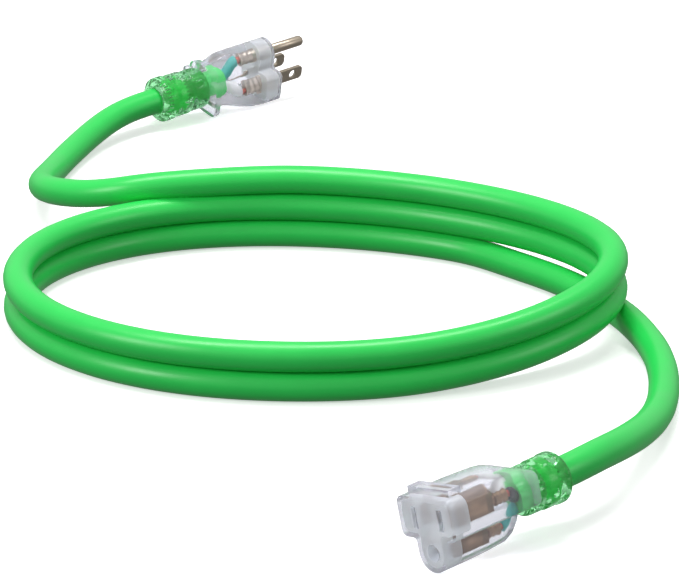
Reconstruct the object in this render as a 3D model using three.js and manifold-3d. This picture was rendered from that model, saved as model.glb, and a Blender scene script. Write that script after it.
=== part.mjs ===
// A heavy three-conductor extension cord, lying in two and a half low turns with both ends loose:
// a clear moulded grounded plug at the back left and a clear moulded connector at the front right.
// Millimetres, +Z up. The lengths below are laid out from the middle of the coil, and the finished group
// is moved so that its origin is on the floor midway between the plug and the connector.
import * as THREE from "three";
import { mergeVertices } from "three/addons/utils/BufferGeometryUtils.js";
import Module from "manifold-3d";

const wasm = await Module();
wasm.setup();

// ---- driving dimensions -------------------------------------------------------------------------
const GAP = 0.3; // clearance kept between touching pieces

const CORD_DIAMETER = 11.5;
const CORD_SIDES = 10;
const CORD_STEP = 27; // length of one straight facet of a free stretch

const COIL_HALF_LENGTH = 116; // left to right, to the cord's centre line
const COIL_HALF_DEPTH = 88; // front to back
const COIL_CENTRE_X = -1;
const COIL_TAPER = 0.1; // the right end is this much narrower than the middle
const COIL_SKEW = -6.5; // front to back shift between the two ends
const COIL_LAYERS = 2;
const DROP_START = 172; // degrees round the coil where a turn begins to sink by one layer
const DROP_SPAN = 90;
const COIL_TOP_START = 80; // degrees where the top turn comes onto the stack
const COIL_TOP_END = 165; // degrees where the top turn is taken over by the coil's own solid

// standard grounded mains pattern
const BLADE_SPACING = 12.7;
const BLADE_WIDTH = 6.35;
const BLADE_THICKNESS = 1.5;
const BLADE_LENGTH = 17.5;
const GROUND_OFFSET = 11.9; // from the line through the blades to the ground pin
const GROUND_DIAMETER = 4.8;
const GROUND_LENGTH = 21.4;
const BLADE_HEIGHT = -4.2; // the blades' line, below the cord's axis
const GROUND_HEIGHT = BLADE_HEIGHT + GROUND_OFFSET;

// conductors
const WIRE_DIAMETER = 4.0;
const STRAND_DIAMETER = 2.6;
const BARREL_DIAMETER = 4.6;
const WIRE_PITCH = 2.55; // each conductor's distance from the cord's axis

// moulded bodies
const PLUG_BODY_LENGTH = 38;
const PLUG_RELIEF_LENGTH = 26;
const CONNECTOR_BODY_LENGTH = 41;
const CONNECTOR_RELIEF_LENGTH = 20;
const BODY_WIDTH = 27;
const LOBE_RADIUS = 6.8;

// where the two ends lie: the cord's end point at the rear of each strain relief, and the axis from it
const PLUG_PLACE = { start: [-73, 252, 12.4], heading: 40, pitch: 4, roll: 14, upright: 1 };
const CONNECTOR_PLACE = { start: [82, -205, 18.3], heading: -138, pitch: -3.5, roll: 12, upright: -1 };

// free stretches, from each end towards the coil, at the cord's centre line
const PLUG_ROUTE = [
  [-73, 252, 12.4], [-83.3, 243.3, 11.5], [-91.7, 233, 9.8], [-98.8, 220, 7.7], [-104.5, 205, 6.3],
  [-109.5, 188, 5.8], [-113, 170, 6.3], [-115.5, 152, 8.5], [-116, 134, 12], [-113, 117, 15.5],
  [-105, 102.5, 18.6], [-93.5, 92, 21.3], [-80, 86.3, 24.5], [-66, 84.8, 27.4], [-52, 85.6, 28.75],
];
const CONNECTOR_ROUTE = [
  [78, 49, 5.75], [92, 34.5, 5.75], [104, 18, 5.75], [113, 1, 5.75], [117.4, -9, 5.75],
  [121, -19, 5.75], [125.6, -37, 5.75], [128.3, -55, 5.75], [129, -73, 5.75], [127.9, -91, 5.85],
  [125.5, -109, 6.6], [121.6, -126.5, 8.3], [116.6, -143.5, 10.8], [110.6, -160, 13.9],
  [104, -175.3, 16.8], [97, -187.6, 18.7], [89.6, -197.8, 19], [82, -205, 18.3],
];
const MIDWAY = [4.55, 27.55, 0]; // the point on the floor midway between the two moulded ends
const CLEAR_OF_COIL = 4; // the route's first points run under the turns, in the coil's own solid

// ---- helpers ------------------------------------------------------------------------------------
const radians = THREE.MathUtils.degToRad;
const vector = (point) => new THREE.Vector3(...point);

// A closed geometry becomes a solid that can be cut and joined.
function solid(geometry) {
  const bare = geometry.clone();
  bare.deleteAttribute("normal");
  bare.deleteAttribute("uv");
  const merged = mergeVertices(bare, 1e-4);
  return new wasm.Manifold(new wasm.Mesh({
    numProp: 3,
    vertProperties: new Float32Array(merged.attributes.position.array),
    triVerts: new Uint32Array(merged.index.array),
  }));
}

function geometryOf(manifold) {
  const mesh = manifold.getMesh();
  const geometry = new THREE.BufferGeometry();
  geometry.setAttribute("position", new THREE.BufferAttribute(mesh.vertProperties, 3));
  geometry.setIndex(new THREE.BufferAttribute(mesh.triVerts, 1));
  return geometry;
}

const join = (...pieces) => pieces.reduce((sum, piece) => sum.add(piece));
const cut = (body, ...tools) => tools.reduce((rest, tool) => rest.subtract(tool), body);

function regularSection(radius, sides) {
  const corners = Array.from({ length: sides }, (_, index) => {
    const angle = ((index + 0.5) / sides) * 2 * Math.PI;
    return new THREE.Vector2(radius * Math.cos(angle), radius * Math.sin(angle));
  });
  return new THREE.Shape(corners);
}

// A round bar along a smooth curve through the points.
function tube(points, diameter, sides, stepLength) {
  const curve = new THREE.CatmullRomCurve3(points, false, "centripetal");
  const steps = Math.max(2, Math.round(curve.getLength() / stepLength));
  return new THREE.ExtrudeGeometry(regularSection(diameter / 2, sides), { extrudePath: curve, steps });
}

// In an end's own frame X runs out of the mating face along the cord's axis and Z points to the ground
// contact; a prism has its outline across the axis and runs from one X to another.
const acrossAxis = new THREE.Matrix4().makeBasis(vector([0, 1, 0]), vector([0, 0, 1]), vector([1, 0, 0]));

function prism(outline, from, to) {
  const geometry = new THREE.ExtrudeGeometry(outline, { depth: to - from, bevelEnabled: false, curveSegments: 8 });
  return solid(geometry.applyMatrix4(acrossAxis).translate(from, 0, 0));
}

// A turned piece about the line through (Y, Z), from a profile of [x, radius] pairs.
function turned(profile, y, z, sides = 16) {
  const points = profile.map(([x, radius]) => new THREE.Vector2(radius, x));
  const geometry = new THREE.LatheGeometry(points, sides);
  return solid(geometry.rotateZ(-Math.PI / 2).translate(0, y, z));
}

const rod = (from, to, radius, y, z, sides) =>
  turned([[from, 0], [from, radius], [to, radius], [to, 0]], y, z, sides);

// A flat piece with its outline in X and Z, centred on the given Y.
function plate(outline, thickness, y) {
  const geometry = new THREE.ExtrudeGeometry(outline, { depth: thickness, bevelEnabled: false, curveSegments: 6 });
  return solid(geometry.rotateX(Math.PI / 2).translate(0, y + thickness / 2, 0));
}

function material(color, roughness, metalness, opacity = 1) {
  return new THREE.MeshStandardMaterial({ color, roughness, metalness, opacity, transparent: opacity < 1 });
}

const jacket = material("#2bc552", 0.42, 0);
const clearVinyl = material("#d3d3dc", 0.25, 0, 0.4);
const paleVinyl = material("#cfd9d6", 0.4, 0, 0.6);
const nickelPlate = material("#8a7d6f", 0.35, 1);
const brass = material("#b08a50", 0.35, 1);
const copper = material("#c0685a", 0.4, 1);
const wireColours = {
  line: material("#1d1f20", 0.5, 0),
  neutral: material("#e8e8e2", 0.5, 0),
  ground: material("#2fb5a8", 0.5, 0),
};

function named(name, shape, finish) {
  const geometry = shape.getMesh ? geometryOf(shape) : shape;
  const mesh = new THREE.Mesh(geometry, finish);
  mesh.name = name;
  return mesh;
}

// ---- cord ---------------------------------------------------------------------------------------
// How far a turn has sunk, from 0 to 1 layer, at an angle round the coil.
function drop(degrees) {
  return THREE.MathUtils.smoothstep(degrees, DROP_START, DROP_START + DROP_SPAN);
}

// The centre line of the turns; 0 is the left end, 90 the back, 180 the right end.
function coilPoint(degrees) {
  const angle = radians(180 - degrees);
  const narrowing = 1 - COIL_TAPER * Math.cos(angle);
  const layer = COIL_LAYERS - drop(degrees) - drop(degrees - 360);
  return new THREE.Vector3(
    COIL_CENTRE_X + COIL_HALF_LENGTH * Math.cos(angle),
    COIL_HALF_DEPTH * Math.sin(angle) * narrowing + COIL_SKEW * Math.cos(angle),
    CORD_DIAMETER * (layer + 0.5),
  );
}

function coilStretch(from, to, step = 10) {
  const count = Math.round((to - from) / step);
  return Array.from({ length: count + 1 }, (_, index) => coilPoint(from + ((to - from) * index) / count));
}

// The outline of the stacked turns seen from above, a distance outside their centre line.
function coilOutline(offset, count = 56) {
  return Array.from({ length: count }, (_, index) => {
    const degrees = (index / count) * 360;
    const point = coilPoint(degrees);
    const along = coilPoint(degrees + 0.5).sub(coilPoint(degrees - 0.5)).setZ(0).normalize();
    return new THREE.Vector2(point.x - along.y * offset, point.y + along.x * offset);
  });
}

function stackedTurns(halfWidth, height) {
  const outline = new THREE.Shape(coilOutline(halfWidth));
  outline.holes.push(new THREE.Path(coilOutline(-halfWidth).reverse()));
  return solid(new THREE.ExtrudeGeometry(outline, { depth: height, bevelEnabled: false }));
}

function makeCord() {
  const tubeDiameter = CORD_DIAMETER - GAP;
  const stackHeight = COIL_LAYERS * CORD_DIAMETER - GAP;
  const sinkingTurn = coilStretch(COIL_TOP_END, DROP_START + DROP_SPAN);
  const coil = join(
    stackedTurns(tubeDiameter / 2, stackHeight),
    solid(tube(sinkingTurn, tubeDiameter, CORD_SIDES, CORD_STEP / 2)),
  );

  const clearance = stackedTurns(tubeDiameter / 2 + GAP, stackHeight + GAP);
  const freeStretch = (points) => cut(solid(tube(points, tubeDiameter, CORD_SIDES, CORD_STEP)), clearance);
  const plugPoints = [...PLUG_ROUTE.map(vector), ...coilStretch(COIL_TOP_START, COIL_TOP_END - 1)];
  const connectorPoints = CONNECTOR_ROUTE.slice(CLEAR_OF_COIL).map(vector);
  return [
    named("cord_coil", coil, jacket),
    named("cord_plug_stretch", freeStretch(plugPoints), jacket),
    named("cord_connector_stretch", freeStretch(connectorPoints), jacket),
  ];
}

// ---- what both ends share -----------------------------------------------------------------------
// Line, neutral and ground: where each leaves the jacket and the axis of its terminal.
function conductors(lineSide) {
  const spread = WIRE_PITCH * Math.cos(radians(30));
  const low = -WIRE_PITCH * Math.sin(radians(30));
  const half = BLADE_SPACING / 2;
  return {
    line: { leaves: [lineSide * spread, low], terminal: [lineSide * half, BLADE_HEIGHT] },
    neutral: { leaves: [-lineSide * spread, low], terminal: [-lineSide * half, BLADE_HEIGHT] },
    ground: { leaves: [0, WIRE_PITCH], terminal: [0, GROUND_HEIGHT] },
  };
}

// A block round the two blades with a round lobe round the ground contact, drawn across the axis.
function blockAndLobe(inset, from, to) {
  const half = BODY_WIDTH / 2 - inset;
  const floor = BLADE_HEIGHT - 7.6 + inset;
  const ceiling = BLADE_HEIGHT + 7 - inset;
  const corner = 3 - inset / 2;
  const block = new THREE.Shape();
  block.moveTo(-half + corner, floor);
  block.lineTo(half - corner, floor);
  block.absarc(half - corner, floor + corner, corner, -Math.PI / 2, 0);
  block.lineTo(half, ceiling - corner);
  block.absarc(half - corner, ceiling - corner, corner, 0, Math.PI / 2);
  block.lineTo(-half + corner, ceiling);
  block.absarc(-half + corner, ceiling - corner, corner, Math.PI / 2, Math.PI);
  block.lineTo(-half, floor + corner);
  block.absarc(-half + corner, floor + corner, corner, Math.PI, 1.5 * Math.PI);
  const radius = LOBE_RADIUS - inset;
  const lobe = new THREE.Shape();
  lobe.moveTo(radius, BLADE_HEIGHT);
  lobe.lineTo(radius, GROUND_HEIGHT);
  lobe.absarc(0, GROUND_HEIGHT, radius, 0, Math.PI);
  lobe.lineTo(-radius, BLADE_HEIGHT);
  return join(prism(block, from, to), prism(lobe, from, to));
}

// A sleeve of stepped rings round the jacket, from its chamfered rear mouth to the moulded body.
function strainRelief(rear, length, rings, largest, smallest) {
  const bore = CORD_DIAMETER / 2 + GAP;
  const profile = [[rear, bore], [rear, bore + 0.9]];
  const ring = length / rings;
  for (let index = 0; index < rings; index += 1) {
    const start = rear + index * ring;
    const radius = THREE.MathUtils.lerp(largest, smallest, index / (rings - 1));
    profile.push([start + (index === 0 ? 2.6 : 0.5), radius], [start + ring - 1.4, radius]);
    profile.push([start + ring - 1, radius - 1.3], [start + ring, radius - 1.3]);
  }
  const front = rear + length - GAP;
  profile[profile.length - 1] = [front, smallest - 1.3];
  profile.push([front, bore], [rear, bore]);
  return turned(profile, 0, 0, 24);
}

// An insulated wire from the jacket's end to its terminal; grown, it is the pocket that holds the wire.
function wire({ leaves, terminal }, from, to, grow = 0) {
  const middle = (from + to) / 2;
  const route = [
    vector([from - grow, ...leaves]),
    vector([from + 1.5, ...leaves]),
    vector([middle, (leaves[0] + terminal[0]) / 2, (leaves[1] + terminal[1]) / 2]),
    vector([to - 1.5, ...terminal]),
    vector([to + grow, ...terminal]),
  ];
  return solid(tube(route, WIRE_DIAMETER + 2 * grow, 10, 1.6));
}

const bareEnd = ({ terminal }, from, to, grow = 0) =>
  rod(from, to, STRAND_DIAMETER / 2 + grow, ...terminal, 10);

// The crimped sleeve at the back of a terminal, open at the rear for the bare strands.
function barrel({ terminal }, rear, front) {
  const outer = BARREL_DIAMETER / 2;
  const bore = STRAND_DIAMETER / 2 + GAP;
  return turned([
    [front - 1.5, 0], [front - 1.5, bore], [rear, bore], [rear, outer], [front, outer], [front, 0],
  ], ...terminal, 12);
}

// Places the pieces of one end, made in the end's own frame, with the rear of its relief on the cord.
function placed(meshes, place, rearOfRelief) {
  const group = new THREE.Group();
  group.add(...meshes);
  const heading = radians(place.heading);
  const pitch = radians(place.pitch);
  const axis = vector([Math.cos(heading) * Math.cos(pitch), Math.sin(heading) * Math.cos(pitch), Math.sin(pitch)]);
  const across = new THREE.Vector3(-Math.sin(heading), Math.cos(heading), 0);
  const ground = new THREE.Vector3().crossVectors(axis, across).multiplyScalar(place.upright);
  across.multiplyScalar(place.upright);
  ground.applyAxisAngle(axis, radians(place.roll));
  across.applyAxisAngle(axis, radians(place.roll));
  group.matrixAutoUpdate = false;
  group.matrix.makeBasis(axis, across, ground);
  group.matrix.setPosition(vector(place.start).addScaledVector(axis, -rearOfRelief));
  return group;
}

// ---- plug ---------------------------------------------------------------------------------------
const PLUG_REAR = -PLUG_BODY_LENGTH - PLUG_RELIEF_LENGTH;
const PLUG_JACKET_END = -27;
const PLUG_WIRE_END = -19;
const PLUG_BARREL_REAR = -17;
const PLUG_BARREL_FRONT = -9.5;
const CARRIER_REAR = -6.5;
const CARRIER_FRONT = -1.2;

function bladeOutline(grow) {
  const half = BLADE_WIDTH / 2 + grow;
  const tip = BLADE_LENGTH + grow;
  const chamfer = 1.4;
  const outline = new THREE.Shape([
    new THREE.Vector2(PLUG_BARREL_FRONT - 0.5 - grow, BLADE_HEIGHT - half),
    new THREE.Vector2(tip - chamfer, BLADE_HEIGHT - half),
    new THREE.Vector2(tip, BLADE_HEIGHT - half + chamfer),
    new THREE.Vector2(tip, BLADE_HEIGHT + half - chamfer),
    new THREE.Vector2(tip - chamfer, BLADE_HEIGHT + half),
    new THREE.Vector2(PLUG_BARREL_FRONT - 0.5 - grow, BLADE_HEIGHT + half),
  ]);
  if (grow === 0) {
    const hole = new THREE.Path();
    hole.absarc(BLADE_LENGTH - 5.6, BLADE_HEIGHT, 1.9, 0, 2 * Math.PI);
    outline.holes.push(hole);
  }
  return outline;
}

function blade(path, grow = 0) {
  return plate(bladeOutline(grow), BLADE_THICKNESS + 2 * grow, path.terminal[0]);
}

function groundPin(path, grow = 0) {
  const radius = GROUND_DIAMETER / 2 + grow;
  const tip = GROUND_LENGTH + grow;
  return turned([
    [PLUG_BARREL_FRONT - 0.5, 0], [PLUG_BARREL_FRONT - 0.5, radius], [tip - 2.2, radius],
    [tip - 0.9, radius * 0.78], [tip - 0.2, radius * 0.4], [tip, 0],
  ], ...path.terminal, 20);
}

function makePlug() {
  const paths = conductors(1);
  const rear = PLUG_REAR;
  const terminals = {
    line: blade(paths.line),
    neutral: blade(paths.neutral),
    ground: groundPin(paths.ground),
  };
  const terminalSlots = [blade(paths.line, GAP), blade(paths.neutral, GAP), groundPin(paths.ground, GAP)];
  const meshes = [];
  const pockets = [...terminalSlots];
  for (const [pole, path] of Object.entries(paths)) {
    const terminal = join(terminals[pole], barrel(path, PLUG_BARREL_REAR, PLUG_BARREL_FRONT));
    meshes.push(
      named(pole === "ground" ? "plug_ground_pin" : `plug_${pole}_blade`, terminal, nickelPlate),
      named(`plug_${pole}_wire`, wire(path, PLUG_JACKET_END + GAP, PLUG_WIRE_END), wireColours[pole]),
      named(`plug_${pole}_strands`, bareEnd(path, PLUG_WIRE_END + GAP, PLUG_BARREL_FRONT - 2), copper),
    );
    pockets.push(
      rod(PLUG_BARREL_REAR - GAP, PLUG_BARREL_FRONT + GAP, BARREL_DIAMETER / 2 + GAP, ...path.terminal, 12),
      wire(path, PLUG_JACKET_END + GAP, PLUG_WIRE_END, GAP),
      bareEnd(path, PLUG_WIRE_END - 1, PLUG_BARREL_REAR + 1, GAP),
    );
  }
  const carrier = cut(blockAndLobe(1.8, CARRIER_REAR, CARRIER_FRONT), ...terminalSlots);
  const carrierPocket = blockAndLobe(1.8 - GAP, CARRIER_REAR - GAP, CARRIER_FRONT + GAP);
  const jacketBore = rod(-PLUG_BODY_LENGTH - 1, PLUG_JACKET_END + GAP, CORD_DIAMETER / 2 + GAP, 0, 0, 24);
  const body = cut(blockAndLobe(0, -PLUG_BODY_LENGTH, 0), carrierPocket, jacketBore, ...pockets);
  meshes.push(
    named("plug_body", body, clearVinyl),
    named("plug_blade_carrier", carrier, paleVinyl),
    named("plug_strain_relief", strainRelief(rear, PLUG_RELIEF_LENGTH, 3, 10.2, 9.4), clearVinyl),
    named("plug_jacket_end", rod(rear + GAP, PLUG_JACKET_END, CORD_DIAMETER / 2, 0, 0, 24), jacket),
  );
  return placed(meshes, PLUG_PLACE, rear);
}

// ---- connector ----------------------------------------------------------------------------------
const CONNECTOR_REAR = -CONNECTOR_BODY_LENGTH - CONNECTOR_RELIEF_LENGTH;
const CONNECTOR_JACKET_END = -36;
const CONNECTOR_WIRE_END = -30;
const CONTACT_BARREL_REAR = -28.5;
const CONTACT_REAR = -22;
const CONTACT_FRONT = -5;
const INSERT_REAR = -8.5;
const SLOT_WIDTH = 2.1;
const SLOT_HEIGHT = 7.4;
const GROUND_HOLE_RADIUS = 2.9;

// A strip folded into a U that grips a blade or the ground pin between its two leaves.
function contact({ terminal }, leafGap, stripWidth) {
  const [y, z] = terminal;
  const metal = 0.8;
  const outer = leafGap / 2 + metal;
  const inner = leafGap / 2;
  const outline = new THREE.Shape([
    new THREE.Vector2(CONTACT_REAR, -outer), new THREE.Vector2(CONTACT_FRONT, -outer),
    new THREE.Vector2(CONTACT_FRONT, -inner), new THREE.Vector2(CONTACT_REAR + metal, -inner),
    new THREE.Vector2(CONTACT_REAR + metal, inner), new THREE.Vector2(CONTACT_FRONT, inner),
    new THREE.Vector2(CONTACT_FRONT, outer), new THREE.Vector2(CONTACT_REAR, outer),
  ]);
  const strip = new THREE.ExtrudeGeometry(outline, { depth: stripWidth, bevelEnabled: false });
  strip.translate(0, y, z - stripWidth / 2);
  const neck = rod(CONTACT_REAR - 1.5, CONTACT_REAR + 0.4, 1.6, y, z, 12);
  return join(solid(strip), neck, barrel({ terminal }, CONTACT_BARREL_REAR, CONTACT_REAR - 1));
}

function box(from, to, width, height, y, z) {
  return solid(new THREE.BoxGeometry(to - from, width, height).translate((from + to) / 2, y, z));
}

function makeConnector() {
  const paths = conductors(-1);
  const rear = CONNECTOR_REAR;
  const meshes = [];
  const pockets = [];
  const mouths = [];
  for (const [pole, path] of Object.entries(paths)) {
    const grounded = pole === "ground";
    const leafGap = grounded ? GROUND_DIAMETER + 0.2 : BLADE_THICKNESS + 0.5;
    const stripWidth = grounded ? 5.2 : 6.4;
    const [y, z] = path.terminal;
    meshes.push(
      named(`connector_${pole}_contact`, contact(path, leafGap, stripWidth), brass),
      named(`connector_${pole}_wire`, wire(path, CONNECTOR_JACKET_END + GAP, CONNECTOR_WIRE_END),
        wireColours[pole]),
      named(`connector_${pole}_strands`, bareEnd(path, CONNECTOR_WIRE_END + GAP, CONTACT_REAR - 3), copper),
    );
    pockets.push(
      box(CONTACT_REAR - GAP, CONTACT_FRONT + GAP, leafGap + 1.6 + 2 * GAP, stripWidth + 2 * GAP, y, z),
      rod(CONTACT_BARREL_REAR - GAP, CONTACT_REAR + 0.5, BARREL_DIAMETER / 2 + GAP, y, z, 12),
      wire(path, CONNECTOR_JACKET_END + GAP, CONNECTOR_WIRE_END, GAP),
      bareEnd(path, CONNECTOR_WIRE_END - 1, CONTACT_BARREL_REAR + 1, GAP),
    );
    mouths.push(grounded
      ? rod(CONTACT_FRONT - 1, 1, GROUND_HOLE_RADIUS, y, z, 20)
      : box(CONTACT_FRONT - 1, 1, SLOT_WIDTH, SLOT_HEIGHT, y, z));
  }
  const insert = cut(blockAndLobe(1.6, INSERT_REAR, 0), ...pockets, ...mouths);
  const insertPocket = blockAndLobe(1.6 - GAP, INSERT_REAR - GAP, 1);
  const jacketBore = rod(-CONNECTOR_BODY_LENGTH - 1, CONNECTOR_JACKET_END + GAP, CORD_DIAMETER / 2 + GAP, 0, 0, 24);
  const ridge = box(-9, -2.5, 19, 3, 0, BLADE_HEIGHT - 7.6 - 1);
  const body = cut(join(blockAndLobe(0, -CONNECTOR_BODY_LENGTH, 0), ridge), insertPocket, jacketBore, ...pockets);
  meshes.push(
    named("connector_body", body, clearVinyl),
    named("connector_face_insert", insert, paleVinyl),
    named("connector_strain_relief", strainRelief(rear, CONNECTOR_RELIEF_LENGTH, 3, 9.4, 8.8), clearVinyl),
    named("connector_jacket_end", rod(rear + GAP, CONNECTOR_JACKET_END, CORD_DIAMETER / 2, 0, 0, 24), jacket),
  );
  return placed(meshes, CONNECTOR_PLACE, rear);
}

const extensionCord = new THREE.Group();
extensionCord.add(...makeCord(), makePlug(), makeConnector());
extensionCord.position.copy(vector(MIDWAY)).negate();

export default extensionCord;
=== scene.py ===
"""Builds a grounded extension cord round its CAD frame: one continuous jacket lying in a little over two
turns, a clear moulded plug at one end and a clear moulded connector at the other."""

import math

import bmesh
import bpy
from bpy.props import FloatProperty, FloatVectorProperty, IntProperty, PointerProperty
from mathutils import Matrix, Vector
from mathutils.geometry import interpolate_bezier


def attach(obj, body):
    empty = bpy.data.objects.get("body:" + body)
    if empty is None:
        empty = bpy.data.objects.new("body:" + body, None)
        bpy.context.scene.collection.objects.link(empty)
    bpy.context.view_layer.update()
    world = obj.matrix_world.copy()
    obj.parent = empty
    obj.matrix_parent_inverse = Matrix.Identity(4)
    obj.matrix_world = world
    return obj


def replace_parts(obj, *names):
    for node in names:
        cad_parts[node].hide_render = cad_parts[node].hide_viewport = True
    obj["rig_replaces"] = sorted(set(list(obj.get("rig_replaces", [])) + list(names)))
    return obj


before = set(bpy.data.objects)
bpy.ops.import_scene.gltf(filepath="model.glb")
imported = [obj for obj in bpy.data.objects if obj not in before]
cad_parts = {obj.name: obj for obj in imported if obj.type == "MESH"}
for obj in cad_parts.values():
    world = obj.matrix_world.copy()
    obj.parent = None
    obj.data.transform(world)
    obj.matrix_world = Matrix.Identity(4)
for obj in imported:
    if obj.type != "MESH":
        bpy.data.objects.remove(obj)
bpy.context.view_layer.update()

bl_info = {
    "name": "Clear-ended extension cord",
    "version": (1, 0, 0),
    "blender": (4, 5, 0),
    "location": "View3D > Sidebar > Extension Cord",
    "description": "Makes the jacket, the moulded plug and the moulded connector of an extension cord",
    "category": "Object",
}

MM = 0.001
BODY = "root"
MERGE = 0.0005  # mm between points that are one
MIDWAY = Vector((4.55, 27.55, 0))  # floor point under the middle of the object, in mm from the coil's middle

# The camera stands in front of the coil: degrees, then metres, then mm.
CAMERA_ELEVATION = 20
CAMERA_DISTANCE = 1.5593
CAMERA_FAR = 20
CAMERA_LENS = 212.07
CAMERA_SENSOR = 36.0
CAMERA_AIM = Vector((9, 32.5, 0))  # from the coil's middle

# The coil's centre line, in mm from the middle of the coil and in degrees along it.
COIL_HALF_LENGTH = 116
COIL_HALF_DEPTH = 88
COIL_CENTRE_X = -1
COIL_TAPER = 0.1  # the left side is deeper than the right one by this share each way
COIL_SKEW = -6.5  # how far back the right end lies
COIL_LAYERS = 2  # turns below the first one
TURN_HEIGHT = 11.5
DROP_START = 172  # where the cord starts down to the next layer, in each turn
DROP_SPAN = 90
COIL_FROM = 80
COIL_TO = 844
COIL_STEP = 10

# The free stretches: from the plug to the coil, and from the coil to the connector.
PLUG_ROUTE = [
    (-73, 252, 12.4), (-83.3, 243.3, 11.5), (-91.7, 233, 9.8), (-98.8, 220, 7.7), (-104.5, 205, 6.3),
    (-109.5, 188, 5.8), (-113, 170, 6.3), (-115.5, 152, 8.5), (-116, 134, 12), (-113, 117, 15.5),
    (-105, 102.5, 18.6), (-93.5, 92, 21.3), (-80, 86.3, 24.5), (-66, 84.8, 27.4), (-52, 85.6, 28.75),
]
CONNECTOR_ROUTE = [
    (78, 49, 5.75), (92, 34.5, 5.75), (104, 18, 5.75), (113, 1, 5.75), (117.4, -9, 5.75),
    (121, -19, 5.75), (125.6, -37, 5.75), (128.3, -55, 5.75), (129, -73, 5.75), (127.9, -91, 5.85),
    (125.5, -109, 6.6), (121.6, -126.5, 8.3), (116.6, -143.5, 10.8), (110.6, -160, 13.9),
    (104, -175.3, 16.8), (97, -187.6, 18.7), (89.6, -197.8, 19), (82, -205, 18.3),
]

# How each end lies: the cord's point at the mouth of the strain relief and the axis from there.
PLUG_PLACE = {"start": (-73, 252, 12.4), "heading": 40, "pitch": 4, "roll": 14, "upright": 1}
CONNECTOR_PLACE = {"start": (82, -205, 18.3), "heading": -138, "pitch": -3.5, "roll": 12, "upright": -1}

# In an end's own frame X runs out of the mating face and Z points to the ground contact, in mm.
PLUG_BODY_REAR = -38
PLUG_MOUTH = -64
PLUG_JACKET_END = -27
PLUG_STRAIGHT = (PLUG_JACKET_END, -36, -45, -55)  # cord points inside the plug
CONNECTOR_BODY_REAR = -41
CONNECTOR_MOUTH = -61
CONNECTOR_JACKET_END = -36
CONNECTOR_STRAIGHT = (-53, -45, CONNECTOR_JACKET_END)
BLADE_HEIGHT = -4.2
GROUND_HEIGHT = 7.7
HALF_SPACING = 6.35
WIRE_PITCH = 2.55  # from the cord's axis to each wire's
WIRE_RADIUS = 2.0
WIRE_CLEARANCE = 0.3  # between the jacket's cut end and the wires
STRAND_OVERLAP = 0.3  # how far the strands start inside the insulation
CRIMP_BORE = 1.6
BLADE_REAR = -10.0

# The outline of both bodies at full size: the block round the blades and the lobe round the ground contact.
BLOCK_HALF = 13.5
BLOCK_FLOOR = -11.8
BLOCK_TOP = 2.8
LOBE_HALF = 6.8
LOBE_TOP = 14.5
FULL_SECTION = (BLOCK_HALF, BLOCK_FLOOR, BLOCK_TOP, LOBE_HALF, LOBE_TOP)
SHOULDER = 8  # the lobe's own width is reached at one part in this many of its height

# The openings in the connector's face.
SLOT_HALF = 1.05
SLOT_TALL = 7.4
SLOT_DEPTH = 4.6
GROUND_HOLE = 2.9
HOLE_SIDES = 28


def linear(code):
    """An sRGB hex colour as the linear values that Blender's sockets take."""
    channels = [int(code[i:i + 2], 16) / 255 for i in (1, 3, 5)]
    return tuple(c / 12.92 if c <= 0.04045 else ((c + 0.055) / 1.055) ** 2.4 for c in channels)


def per_metre(millimetres):
    """The texture scale whose features are that many millimetres across."""
    return 1000 / millimetres


class CordSizes(bpy.types.PropertyGroup):
    diameter: FloatProperty(name="Jacket diameter", description="Outside diameter of the round jacket",
                            default=0.0115, unit="LENGTH")
    length: FloatProperty(name="Cord length", description="Length of the cord from end to end",
                          default=1.99, unit="LENGTH")
    sides: IntProperty(name="Roundness", description="Bevel resolution of the jacket's section", default=9)


class ContactSizes(bpy.types.PropertyGroup):
    blade_width: FloatProperty(name="Blade width", description="Width of a flat blade",
                               default=0.00635, unit="LENGTH")
    blade_thickness: FloatProperty(name="Blade thickness", description="Thickness of a flat blade",
                                   default=0.0015, unit="LENGTH")
    blade_length: FloatProperty(name="Blade length", description="How far a blade stands out of the face",
                                default=0.0175, unit="LENGTH")
    pin_diameter: FloatProperty(name="Ground pin diameter", description="Diameter of the round ground pin",
                                default=0.0048, unit="LENGTH")
    pin_length: FloatProperty(name="Ground pin length", description="How far the ground pin stands out",
                              default=0.0214, unit="LENGTH")


def colour_property(name, description, code):
    return FloatVectorProperty(name=name, description=description, default=linear(code),
                               subtype="COLOR", size=3, min=0, max=1)


class Finishes(bpy.types.PropertyGroup):
    jacket: colour_property("Jacket", "Colour of the extruded jacket", "#2BD75A")
    clear: colour_property("Clear vinyl", "Tint of the moulded ends", "#DDDDE6")
    sleeve: colour_property("Relief vinyl", "Tint that the jacket gives the strain reliefs", "#8FD6A0")
    frosted: colour_property("Frosted vinyl", "Tint of the blade carrier and the face insert", "#F1F5F2")
    nickel: colour_property("Nickel plate", "Colour of the plug's blades and pin", "#BBAF9E")
    brass: colour_property("Brass strip", "Colour of the folded contacts", "#957A5E")
    copper: colour_property("Copper strand", "Colour of the bare strands", "#D0705A")
    line: colour_property("Line insulation", "Colour of the line wire", "#1C1E20")
    neutral: colour_property("Neutral insulation", "Colour of the neutral wire", "#EDEDE8")
    ground: colour_property("Ground insulation", "Colour of the ground wire", "#16AFA2")


# ---- materials ----------------------------------------------------------------------------------
def add_node(tree, kind, values=None, links=None, **settings):
    node = tree.nodes.new(kind)
    for name, value in settings.items():
        setattr(node, name, value)
    for socket, value in (values or {}).items():
        node.inputs[socket].default_value = value
    for socket, source in (links or {}).items():
        tree.links.new(source, node.inputs[socket])
    return node


def new_material(name):
    material = bpy.data.materials.get(name)
    if material:
        return material, None
    material = bpy.data.materials.new(name)
    material.use_nodes = True
    material.node_tree.nodes.clear()
    return material, material.node_tree


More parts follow.
